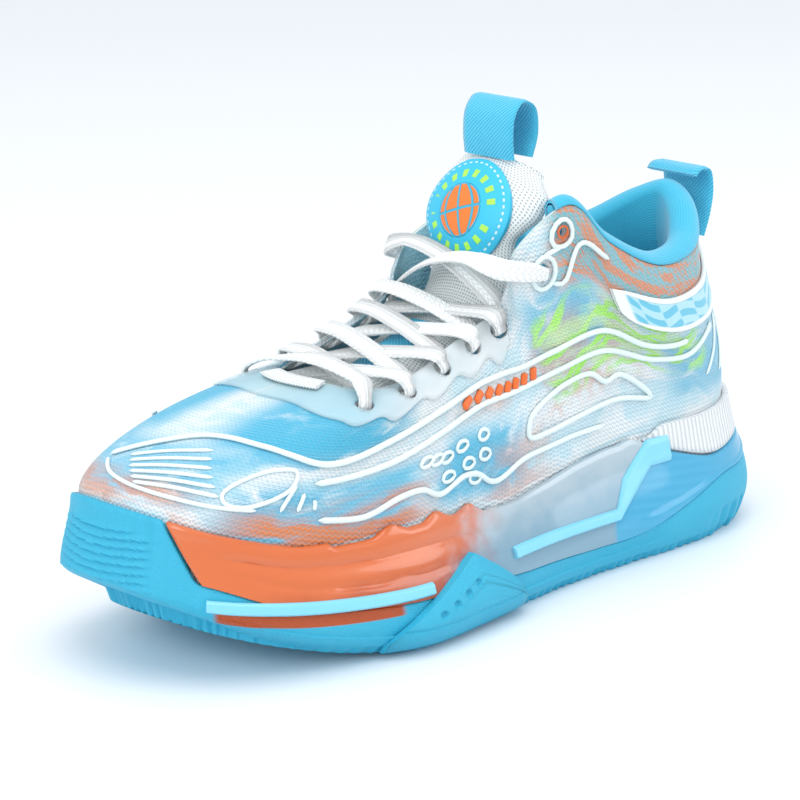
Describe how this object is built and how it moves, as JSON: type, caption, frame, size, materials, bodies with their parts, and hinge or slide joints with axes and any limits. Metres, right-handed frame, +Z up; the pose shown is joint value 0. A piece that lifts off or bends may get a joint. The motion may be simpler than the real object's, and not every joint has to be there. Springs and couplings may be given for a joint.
{
  "type": "basketball high top shoe",
  "caption": "Left basketball high top: rubber cup sole with toe bumper, moulded side cage, knit upper, padded collar, laced throat, tall tongue and webbing pull loops.",
  "frame": {"origin": "middle of the bounding box, on the ground", "axes": "+X to the toe, +Y to the shoe's outer side, +Z up"},
  "size_m": [0.2988, 0.1132, 0.1683],
  "materials": {
    "rubber_cyan": "matte ribbed rubber",
    "foam_white": "moulded foam",
    "shank": "satin plate",
    "cage": "clear gloss, orange in front, grey-blue in the middle, cyan at the heel",
    "stripe": "painted satin",
    "knit": "dyed knit",
    "stiffener": "board",
    "board": "stitched board",
    "insole": "foam under fabric",
    "foam": "open foam",
    "lining": "smooth lining",
    "film": "thin satin film",
    "raised_white": "raised print",
    "orange_trim": "moulded",
    "mesh_white": "open mesh",
    "badge_cyan": "moulded patch",
    "webbing_cyan": "woven tape",
    "lace_white": "flat braid"
  },
  "bodies": {
    "shoe": {"outsole": "rubber_cyan", "midsole": "foam_white", "shank_plate": "shank", "side_cage": "cage", "outer_front_stripe": "stripe", "outer_rear_stripe": "stripe", "inner_stripe": "stripe", "outrigger": "rubber_cyan", "knit_upper": "knit", "heel_counter": "stiffener", "toe_puff": "stiffener", "strobel_board": "board", "sockliner": "insole", "collar_foam": "foam", "collar_lining": "lining", "eyestay_panel": "film", "throat_bar": "mesh_white", "heel_badge": "raised_white", "tongue": "mesh_white", "tongue_strap": "webbing_cyan", "lace": "lace_white", "inner_aglet": "film", "outer_aglet": "film", "outer_upper_line": "raised_white", "outer_lower_line": "raised_white", "outer_wave_line": "raised_white", "outer_cloud_line": "raised_white", "outer_collar_ring": "raised_white", "outer_grommet": "orange_trim", "inner_upper_line": "raised_white", "inner_lower_line": "raised_white", "inner_wave_line": "raised_white", "inner_cloud_line": "raised_white", "inner_collar_ring": "raised_white", "inner_grommet": "orange_trim"},
    "tongue_top": {"tongue_top": "mesh_white", "tongue_patch": "badge_cyan"},
    "tongue_pull": {"tongue_loop": "webbing_cyan"},
    "heel_pull": {"heel_loop": "webbing_cyan"}
  },
  "joints": [
    {"name": "tongue_flex", "type": "hinge", "parent": "shoe", "child": "tongue_top", "pos_m": [-0.01138, -0.00047, 0.10799], "axis": [0, 1, 0], "range_deg": [-12, 5]},
    {"name": "tongue_loop_swing", "type": "hinge", "parent": "tongue_top", "child": "tongue_pull", "pos_m": [-0.02826, -0.00047, 0.1478], "axis": [0, 1, 0], "range_deg": [-18, 3]},
    {"name": "heel_loop_swing", "type": "hinge", "parent": "shoe", "child": "heel_pull", "pos_m": [-0.12503, -0.00047, 0.10627], "axis": [0, 1, 0], "range_deg": [-30, 4]}
  ]
}
